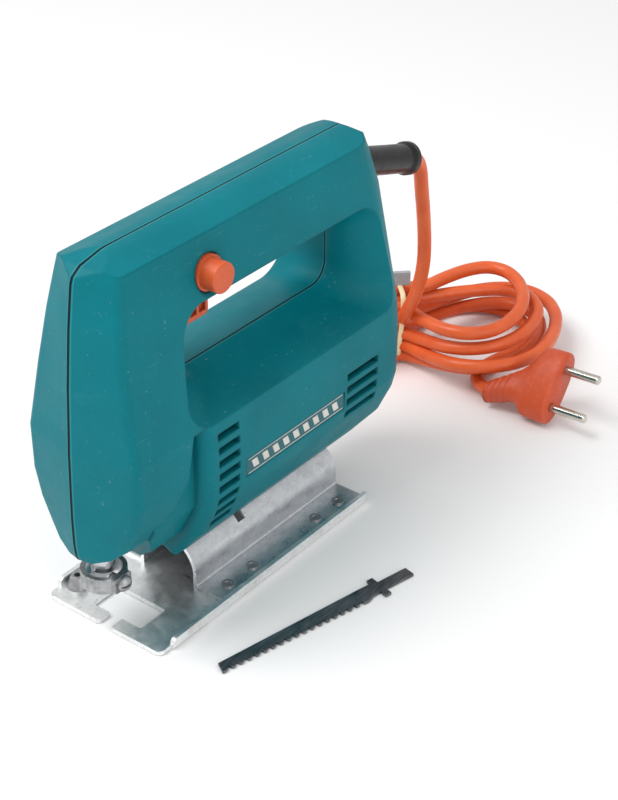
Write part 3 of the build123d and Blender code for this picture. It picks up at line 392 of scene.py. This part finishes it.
def plated(name, base, dark, light, rough=0.34, mottle=1.0, rust=0.25):
    """Plated or cast metal: crystal flakes, stains, dark specks and a little rust."""
    s = Shade(name)
    tone = s.mix(s.ramp(s.flakes(520.0), 0.0, 1.0, 0.0, 0.55 * mottle), base, light)
    blot = s.ramp(s.noise(85.0, 6.0, 0.7), 0.48, 0.66)
    tone = s.mix(s.math("MULTIPLY", blot, 0.55 * mottle), tone, dark)
    speck = s.ramp(s.noise(700.0, 4.0, 0.7), 0.6, 0.7)
    tone = s.mix(s.math("MULTIPLY", speck, 0.6 * mottle), tone, tuple(0.4 * c for c in dark))
    rusty = s.math("MULTIPLY", s.ramp(s.noise(48.0, 7.0, 0.75), 0.62, 0.74), rust)
    tone = s.mix(rusty, tone, lin(118, 78, 48))
    r = s.ramp(s.noise(150.0, 5.0), 0.3, 0.7, rough - 0.06, rough + 0.2)
    n = s.bump(s.noise(480.0, 5.0, 0.7), 0.25, 0.00005, s.soft_edges(0.0004))
    metal = s.ramp(rusty, 0.0, 0.6, 0.92, 0.2)
    return s.finish(tone, r, metal, n)


def turned(name, base, dark, rough=0.22, direction="Z", pitch=900.0):
    """Turned metal, with tool marks along one axis and a film of oil."""
    s = Shade(name)
    rings = s.wave(pitch, direction, distort=1.0)
    tone = s.mix(s.ramp(rings, 0.0, 1.0, 0.0, 0.25), base, dark)
    tone = s.mix(s.ramp(s.noise(120.0, 5.0), 0.5, 0.8, 0.0, 0.5), tone, tuple(0.5 * c for c in dark))
    oil = s.ramp(s.noise(60.0, 3.0), 0.4, 0.7, rough - 0.06, rough + 0.12)
    n = s.bump(rings, 0.1, 0.00002, s.soft_edges(0.0003))
    return s.finish(tone, oil, 0.95, n)


def layered(name, base, dark):
    """A stack of steel sheets."""
    s = Shade(name)
    band = s.wave(320.0)
    tone = s.mix(s.ramp(band, 0.35, 0.65), dark, base)
    tone = s.mix(s.ramp(s.noise(70.0, 4.0), 0.5, 0.75, 0.0, 0.4), tone, lin(96, 60, 40))
    n = s.bump(band, 0.5, 0.0001)
    return s.finish(tone, 0.5, 0.7, n)


def wound(name, base, dark):
    """Coils of enamelled wire."""
    s = Shade(name)
    wires = s.wave(420.0, distort=1.4)
    tone = s.mix(s.ramp(wires, 0.2, 0.8), dark, base)
    tone = s.mix(s.ramp(s.noise(100.0, 3.0), 0.5, 0.8, 0.0, 0.5), tone, tuple(0.45 * c for c in dark))
    n = s.bump(wires, 0.8, 0.0002)
    return s.finish(tone, 0.34, 0.55, n, coat=0.4)


def blade_steel(name):
    """Blued blade steel, ground along its length, with heat tint and rust spots."""
    s = Shade(name)
    grind = s.noise(240.0, 3.0, vector=s.scaled(0.6, 6.0, 1.0))
    tone = s.mix(s.ramp(grind, 0.3, 0.7), lin(92, 95, 98), lin(138, 142, 146))
    heat = s.ramp(s.noise(26.0, 3.0), 0.4, 0.66)
    tone = s.mix(s.math("MULTIPLY", heat, 0.5), tone, lin(58, 60, 64))
    spots = s.ramp(s.noise(300.0, 5.0, 0.7), 0.62, 0.72)
    tone = s.mix(s.math("MULTIPLY", spots, 0.4), tone, lin(104, 70, 46))
    r = s.ramp(s.noise(90.0, 4.0), 0.3, 0.7, 0.24, 0.44)
    n = s.bump(grind, 0.15, 0.00003, s.soft_edges(0.00015))
    return s.finish(tone, r, 0.9, n)


MATS = {
    "teal": shell_plastic("teal_plastic"),
    "badge_teal": plastic(
        "badge_plastic", lin(0, 92, 102), lin(0, 82, 92), lin(20, 112, 120), rough=0.4, dust=0.1
    ),
    "orange": plastic("orange_plastic", lin(206, 86, 36), lin(192, 76, 30), lin(222, 112, 64), rough=0.4),
    "plug": plastic(
        "plug_plastic", lin(204, 80, 38), lin(188, 68, 30), lin(220, 110, 66), rough=0.44, dust=0.14
    ),
    "cord": rubber("cord_sheath", lin(206, 84, 36), lin(218, 98, 48), rough=0.36, dust=0.1, grain=1400.0),
    "black_rubber": rubber("black_rubber", lin(6, 6, 7), lin(14, 14, 15), rough=0.3, dust=0.05),
    "black_plastic": plastic("black_plastic", lin(26, 30, 34), lin(18, 21, 24), lin(52, 58, 62), rough=0.38),
    "zinc": plated(
        "zinc_plate", lin(200, 203, 207), lin(160, 162, 164), lin(228, 230, 232),
        rough=0.26, mottle=0.7, rust=0.1,
    ),
    "zinc_sole": plated(
        "zinc_sole_plate", lin(238, 240, 240), lin(196, 196, 192), lin(252, 252, 252),
        rough=0.3, mottle=0.8, rust=0.3,
    ),
    "clamp": plated("clamp_plate", lin(150, 152, 154), lin(88, 88, 88), lin(196, 196, 196), rust=0.4),
    "rivet": plated("rivet_steel", lin(150, 151, 153), lin(95, 95, 96), lin(200, 200, 200), mottle=0.6),
    "bright": turned("bright_steel", lin(205, 207, 210), lin(140, 142, 146), rough=0.16),
    "machined": turned("machined_steel", lin(150, 152, 156), lin(96, 98, 102), rough=0.3, direction="X"),
    "gear": turned("gear_steel", lin(138, 138, 136), lin(84, 82, 78), rough=0.36, direction="X", pitch=500.0),
    "alu": plated(
        "cast_alloy", lin(176, 178, 180), lin(130, 131, 132), lin(210, 211, 212), rust=0.0, rough=0.42
    ),
    "lams": layered("laminations", lin(98, 99, 102), lin(46, 46, 48)),
    "copper": wound("enamelled_copper", lin(190, 108, 66), lin(118, 58, 32)),
    "segments": turned(
        "segment_copper", lin(196, 124, 84), lin(120, 70, 46), rough=0.28, direction="X", pitch=1200.0
    ),
    "bronze": turned("sintered_bronze", lin(176, 138, 84), lin(116, 86, 48), rough=0.46),
    "carbon": rubber("carbon_block", lin(34, 34, 35), lin(54, 54, 56), rough=0.42, dust=0.1),
    "cream": rubber("band_rubber", lin(226, 204, 160), lin(240, 224, 186), rough=0.5, dust=0.1),
    "grey": plastic("grey_plastic", lin(166, 171, 175), lin(148, 152, 156), lin(200, 203, 205), rough=0.5),
    "white": plastic("white_plastic", lin(214, 213, 206), lin(194, 192, 184), lin(235, 235, 230), rough=0.44),
    "pins": turned("plated_pins", lin(214, 210, 200), lin(158, 152, 138), rough=0.2, direction="Y"),
    "lead_a": rubber("lead_brown", lin(112, 62, 34), lin(136, 82, 50), rough=0.4, dust=0.05),
    "lead_b": rubber("lead_black", lin(28, 28, 32), lin(46, 46, 52), rough=0.4, dust=0.05),
    "blade": blade_steel("blade_steel"),
}

NODE_MATS = {
    "teal": ["left_housing", "right_housing"],
    "zinc": ["saddle", "housing_screws", "cord_clamp_screws"],
    "zinc_sole": ["shoe_plate"],
    "clamp": ["blade_clamp", "clamp_screw"],
    "rivet": ["clinch_rivets", "guide_boss"],
    "alu": ["bearing_plate"],
    "bright": [
        "front_bearing", "rear_bearing", "crank_pin", "plunger",
        "brush_springs", "trigger_spring", "lock_spring",
    ],
    "machined": ["gear_spindle", "yoke", "clamp_washer", "shoe_clamp_screw", "clamp_nut", "armature_shaft"],
    "gear": ["drive_gear", "pinion"],
    "bronze": ["slider_block", "upper_bush", "lower_bush", "brush_holders"],
    "lams": ["stator_core", "armature_core"],
    "copper": ["field_windings", "armature_winding"],
    "segments": ["commutator"],
    "black_plastic": ["cooling_fan", "cord_clamp"],
    "badge_teal": ["badge_plate"],
    "carbon": ["carbon_brushes"],
    "white": ["switch_body"],
    "orange": ["trigger", "lock_button"],
    "cord": ["cord_tail", "mains_cord", "cord_hank", "plug_lead"],
    "lead_a": ["supply_leads"],
    "lead_b": ["motor_leads"],
    "black_rubber": ["strain_relief"],
    "grey": ["capacitor", "band_tab"],
    "cream": ["rubber_band"],
    "plug": ["plug_body"],
    "pins": ["plug_pins"],
    "blade": ["saw_blade"],
}
for key, names in NODE_MATS.items():
    for n in names:
        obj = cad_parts[n]
        obj.data.materials.clear()
        obj.data.materials.append(MATS[key])
cord.data.materials.append(MATS["cord"])


# ------------------------------------------------------------------ mesh helpers
def mesh_object(name, verts, faces, material, smooth=True):
    """A new mesh that rides on the housing."""
    data = bpy.data.meshes.new(name)
    data.from_pydata([tuple(v) for v in verts], [], faces)
    data.validate()
    bm = bmesh.new()
    bm.from_mesh(data)
    bmesh.ops.recalc_face_normals(bm, faces=bm.faces)
    bm.to_mesh(data)
    bm.free()
    for p in data.polygons:
        p.use_smooth = smooth
    data.materials.append(MATS[material])
    obj = bpy.data.objects.new(name, data)
    bpy.context.scene.collection.objects.link(obj)
    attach(obj, "housing")
    return obj


def skin(name, rings, material):
    """A tube of quads through rings of points, with both ends capped."""
    verts = [p for ring in rings for p in ring]
    n = len(rings[0])
    faces = []
    for i in range(len(rings) - 1):
        for j in range(n):
            a = i * n + j
            b = i * n + (j + 1) % n
            faces.append((a, b, b + n, a + n))
    faces.append(tuple(reversed(range(n))))
    faces.append(tuple(range((len(rings) - 1) * n, len(rings) * n)))
    return mesh_object(name, verts, faces, material)


RING_POINTS = 48


def corner_reach(c, s, power):
    """Reach of a rounded square of unit half size in the direction (c, s), squarer for a higher power."""
    return 1.0 / (abs(c) ** power + abs(s) ** power) ** (1.0 / power)


def oblong(centre, u, v, length, width, power):
    """Ring of points: a rounded oblong, length along u and width along v."""
    ring = []
    for k in range(RING_POINTS):
        t = 2 * math.pi * k / RING_POINTS
        c, s = math.cos(t), math.sin(t)
        r = corner_reach(c, s, power)
        ring.append(centre + u * (c * r * length / 2) + v * (s * r * width / 2))
    return ring


# ------------------------------------------------------------------ plug
FACE = Vector((-239.0, 63.4, 17.2))
TAIL = Vector((-230.4, 29.9, 7.1))
PLUG_BACK = Vector((-0.06, -0.99, -0.09)).normalized()
PIN_LINE = Vector((-0.605, 0.0, 0.796)).normalized()
TAIL_LINE = Vector((-0.9, 0.0, 0.43)).normalized()
BLOCK_RUN = 12.0
TAIL_RUN = 23.0
TWIST_FROM = 11.0
TWIST_RUN = 15.0
BLOCK_POWER = 2.4
SLEEVE_POWER = 2.3
SLEEVE_FROM = 22.6
SLEEVE_RINGS = 25
SLEEVE_STEP = 0.5
SLEEVE_SIZE = (16.0, 11.8)
SLEEVE_TAPER = (0.24, 0.05)
RIB_RINGS = 3
RIB_OUT = 0.55
RIB_IN = -0.2475

# distance from the face, long size and short size, down to the ribbed sleeve
plug_rows = [
    (0.0, 34.6, 14.4), (0.5, 35.6, 15.4), (1.4, 36.0, 15.9), (5.0, 36.0, 16.0), (10.0, 35.6, 15.8),
    (12.6, 34.6, 15.4), (13.8, 32.8, 14.8), (15.0, 29.0, 14.0), (16.6, 24.0, 13.2), (18.6, 20.2, 12.6),
    (20.6, 17.6, 12.2), (22.0, 16.6, 12.0),
]


def plug_ring(along, big, small, power):
    """One ring of the plug: straight back through the block, then over to the tail, twisting on the way."""
    block_end = FACE + PLUG_BACK * BLOCK_RUN
    if along > BLOCK_RUN:
        at = block_end.lerp(TAIL, (along - BLOCK_RUN) / TAIL_RUN)
    else:
        at = FACE.lerp(block_end, along / BLOCK_RUN)
    twist = min(max(0.0, along - TWIST_FROM) / TWIST_RUN, 1.0)
    u = PIN_LINE.lerp(TAIL_LINE, twist).normalized()
    v = PLUG_BACK.cross(u).normalized()
    return oblong(at * MM, u * MM, v * MM, big, small, power)


rings = [plug_ring(along, big, small, BLOCK_POWER) for along, big, small in plug_rows]
for k in range(SLEEVE_RINGS):
    rib = RIB_OUT if (k // RIB_RINGS) % 2 == 0 else RIB_IN
    big, small = [size - taper * k + rib for size, taper in zip(SLEEVE_SIZE, SLEEVE_TAPER)]
    rings.append(plug_ring(SLEEVE_FROM + SLEEVE_STEP * k, big, small, SLEEVE_POWER))
plug = skin("plug_shell", rings, "plug")
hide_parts("plug_body")

# ------------------------------------------------------------------ rubber band
BAND_POINTS = 72
BAND_STEPS = 8
BAND_POWER = 5
BAND_HALF_S = 12.9
BAND_HALF_Z = 18.9
BAND_MID_Z = 19.4
BAND_HALF_W = 1.35
BAND_HALF_T = 0.35
BAND_SHIFT = -1.6
BAND_WAVE = 0.25
UPRIGHT_Z = 19.0


def band_ring(offset):
    """A rounded square round the bundle, leaning 1 mm along it at the floor and at twice the upright height."""
    ring = []
    for k in range(BAND_POINTS):
        t = 2 * math.pi * k / BAND_POINTS
        c, sn = math.cos(t), math.sin(t)
        r = corner_reach(c, sn, BAND_POWER)
        z = BAND_MID_Z + sn * r * BAND_HALF_Z
        lean = (z - UPRIGHT_Z) / UPRIGHT_Z
        wave = BAND_WAVE * math.sin(3 * t)
        ring.append(Vector(hank_point(offset + lean + wave, c * r * BAND_HALF_S, z)) * MM)
    return ring


def band_mesh():
    """The band: its flat oval section carried round the ring, as quads."""
    rings = []
    for k in range(BAND_STEPS):
        a = 2 * math.pi * k / BAND_STEPS
        flat = band_ring(BAND_SHIFT + BAND_HALF_W * math.cos(a))
        middle = sum(flat, Vector()) / len(flat)
        swell = BAND_HALF_T * math.sin(a) * MM
        rings.append([p + (p - middle).normalized() * swell for p in flat])
    verts = [p for ring in rings for p in ring]
    faces = []
    for i in range(BAND_STEPS):
        here, there = i * BAND_POINTS, (i + 1) % BAND_STEPS * BAND_POINTS
        for j in range(BAND_POINTS):
            ahead = (j + 1) % BAND_POINTS
            faces.append((here + j, here + ahead, there + ahead, there + j))
    return mesh_object("elastic_band", verts, faces, "cream")


band = band_mesh()
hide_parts("rubber_band")

# ------------------------------------------------------------------ badge: plain raised marks, no lettering
BADGE_BACK = 28.7
RULE_SPAN = (-114.4, -52.0)
RULE_FRONT = 29.1
BLOCKS = 9
BLOCK_FROM = -111.6
BLOCK_PITCH = 6.6
BLOCK_WIDTH = 3.4
BLOCK_FRONT = 29.12
BLOCK_LEAN = 1.4


def bar(name, x0, x1, z0, z1, front, lean=0.0):
    """A white bar standing out of the badge, its top shifted along X by the lean."""
    corners = [(x0, z0), (x1, z0), (x1 + lean, z1), (x0 + lean, z1)]
    verts = [vec(x, y, z) for y in (BADGE_BACK, front) for x, z in corners]
    faces = [(0, 1, 2, 3), (7, 6, 5, 4), (0, 4, 5, 1), (1, 5, 6, 2), (2, 6, 7, 3), (3, 7, 4, 0)]
    return mesh_object(name, verts, faces, "white", smooth=False)


bar("badge_rule_low", *RULE_SPAN, 55.5, 55.9, RULE_FRONT)
bar("badge_rule_top", *RULE_SPAN, 62.1, 62.5, RULE_FRONT)
for k in range(BLOCKS):
    x0 = BLOCK_FROM + BLOCK_PITCH * k
    bar(f"badge_block_{k + 1}", x0, x0 + BLOCK_WIDTH, 57.0, 61.0, BLOCK_FRONT, BLOCK_LEAN)

# ------------------------------------------------------------------ room and light
FLOOR_HALF = 4.0
FLOOR_Z = -0.0003
SKY = 0.72

floor_data = bpy.data.meshes.new("floor")
floor_corners = [(-1, -1), (1, -1), (1, 1), (-1, 1)]
floor_verts = [(x * FLOOR_HALF, y * FLOOR_HALF, FLOOR_Z) for x, y in floor_corners]
floor_data.from_pydata(floor_verts, [], [(0, 1, 2, 3)])
floor = bpy.data.objects.new("floor", floor_data)
bpy.context.scene.collection.objects.link(floor)
floor_data.materials.append(Shade("floor_paint").finish(lin(236, 236, 236), 0.7))

world = bpy.data.worlds.new("world")
bpy.context.scene.world = world
world.use_nodes = True
bg = world.node_tree.nodes["Background"]
bg.inputs[0].default_value = (1.0, 1.0, 1.0, 1.0)
bg.inputs[1].default_value = SKY


def area_light(name, at, target, size, power):
    """A square lamp in metres and watts, aimed at the target."""
    data = bpy.data.lights.new(name, "AREA")
    data.size = size
    data.energy = power
    obj = bpy.data.objects.new(name, data)
    bpy.context.scene.collection.objects.link(obj)
    obj.location = at
    look = (Vector(target) - Vector(at)).normalized()
    obj.rotation_euler = look.to_track_quat("-Z", "Y").to_euler()


area_light("key", (0.5, -0.5, 1.3), (-0.08, 0.0, 0.05), 0.8, 16.0)
area_light("fill", (0.3, 1.5, 0.9), (-0.08, 0.0, 0.08), 1.2, 9.0)
bpy.context.scene.view_settings.view_transform = "Standard"
